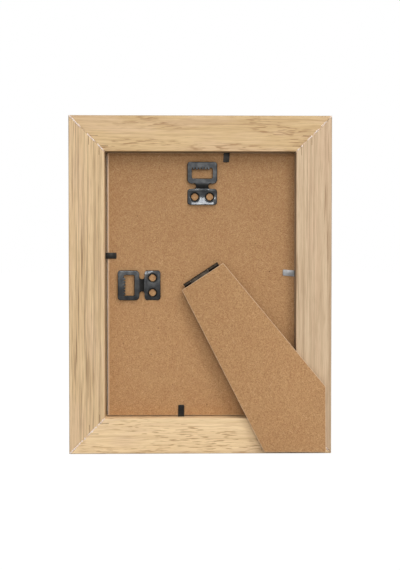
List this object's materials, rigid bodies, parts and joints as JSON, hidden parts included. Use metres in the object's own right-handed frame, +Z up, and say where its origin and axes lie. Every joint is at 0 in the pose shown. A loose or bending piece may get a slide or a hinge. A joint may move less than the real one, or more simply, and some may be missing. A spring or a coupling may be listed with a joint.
{
  "type": "easel back photo frame",
  "caption": "Mitred wood photo frame with a backboard held by bent tabs, a slanted fold-out easel strut and two toothed hangers.",
  "frame": {"origin": "middle of the flat bottom edge that the frame stands on", "axes": "+Z up along the frame's height, +X across it (to the right seen from its back), +Y from the back to the glass"},
  "size_m": [0.1772, 0.0258, 0.2279],
  "materials": {
    "oak_moulding": "oak grain, satin",
    "fibreboard": "raw, fine fibres",
    "black_hanger_steel": "glossy black lacquer",
    "black_hinge_steel": "black lacquer",
    "black_tab_steel": "blackened spring strip",
    "bright_tab_steel": "bare strip",
    "nail_steel": "plain",
    "pin_steel": "plain",
    "clear_glass": "clear",
    "photo_paper": "satin white"
  },
  "bodies": {
    "frame": {"moulding_bottom": "oak_moulding", "moulding_left": "oak_moulding", "moulding_top": "oak_moulding", "moulding_right": "oak_moulding", "corner_nails_top_left": "nail_steel", "corner_nails_top_right": "nail_steel", "corner_nails_bottom_left": "nail_steel", "corner_nails_bottom_right": "nail_steel", "tab_bottom_blade": "black_tab_steel", "tab_left_blade": "black_tab_steel", "tab_top_blade": "black_tab_steel", "tab_right_blade": "bright_tab_steel", "front_glass": "clear_glass", "photo_insert": "photo_paper", "backboard": "fibreboard", "top_hanger": "black_hanger_steel", "side_hanger": "black_hanger_steel", "hinge_fixed_leaf": "black_hinge_steel", "hinge_pin": "pin_steel"},
    "strut": {"strut": "fibreboard", "hinge_moving_leaf": "black_hinge_steel"},
    "tab_bottom": {"tab_bottom_tongue": "black_tab_steel"},
    "tab_left": {"tab_left_tongue": "black_tab_steel"},
    "tab_top": {"tab_top_tongue": "black_tab_steel"},
    "tab_right": {"tab_right_tongue": "bright_tab_steel"}
  },
  "joints": [
    {"name": "strut_hinge", "type": "hinge", "parent": "frame", "child": "strut", "pos_m": [0.00065, -0.00245, 0.1208], "axis": [-0.8358, 0, -0.549], "range_deg": [0, 30]},
    {"name": "tab_bottom_bend", "type": "hinge", "parent": "frame", "child": "tab_bottom", "pos_m": [-0.0131, -0.00105, 0.02435], "axis": [1, 0, 0], "range_deg": [0, 80]},
    {"name": "tab_left_bend", "type": "hinge", "parent": "frame", "child": "tab_left", "pos_m": [-0.0642, -0.00105, 0.1338], "axis": [0, 0, -1], "range_deg": [0, 80]},
    {"name": "tab_top_bend", "type": "hinge", "parent": "frame", "child": "tab_top", "pos_m": [0.018, -0.00105, 0.20355], "axis": [-1, 0, 0], "range_deg": [0, 80]},
    {"name": "tab_right_bend", "type": "hinge", "parent": "frame", "child": "tab_right", "pos_m": [0.0642, -0.00105, 0.1217], "axis": [0, 0, 1], "range_deg": [0, 80]}
  ]
}
